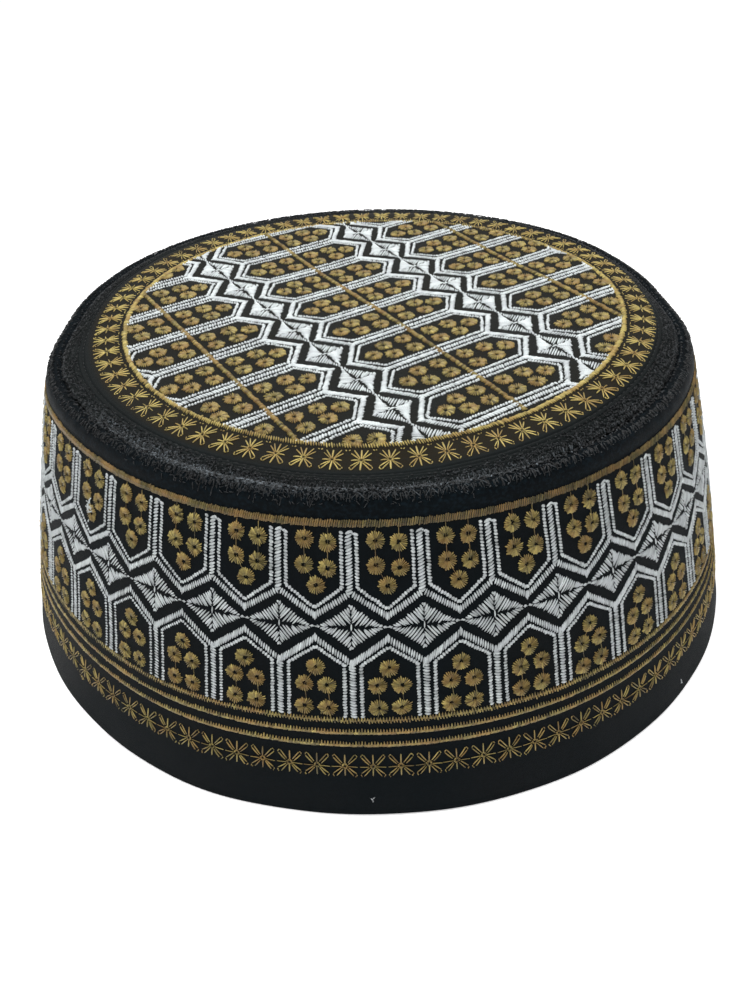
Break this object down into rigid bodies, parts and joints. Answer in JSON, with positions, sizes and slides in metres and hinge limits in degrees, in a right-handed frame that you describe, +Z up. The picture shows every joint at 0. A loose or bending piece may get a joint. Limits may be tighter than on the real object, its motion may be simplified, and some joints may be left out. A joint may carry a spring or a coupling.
{
  "type": "embroidered kufi cap",
  "caption": "Stiff round brimless cap with a flat crown, a padded edge roll and a tapering side band, worn on the head and resting on its hem.",
  "frame": {"origin": "centre of the cap at the level of the hem's lower edge, on the surface that it rests on", "axes": "+Z up along the cap's axis from the hem to the crown; -Y towards the side shown in front; the turned solids are symmetric about Z"},
  "size_m": [0.1888, 0.1888, 0.0765],
  "materials": {
    "crown_cloth": "matte black woven cloth with a faint brown cast under the embroidery",
    "roll_cloth": "satin black woven cloth, padded, with dark overcast stitches",
    "side_cloth": "matte blue-black woven cloth",
    "white_thread": "glossy white embroidery thread in satin stitch",
    "gold_thread": "old-gold embroidery thread with a soft lustre",
    "dark_thread": "grey-black thread with small bright highlights"
  },
  "bodies": {
    "root": {"crown": "crown_cloth", "edge_roll": "roll_cloth", "side_band": "side_cloth"}
  },
  "joints": []
}
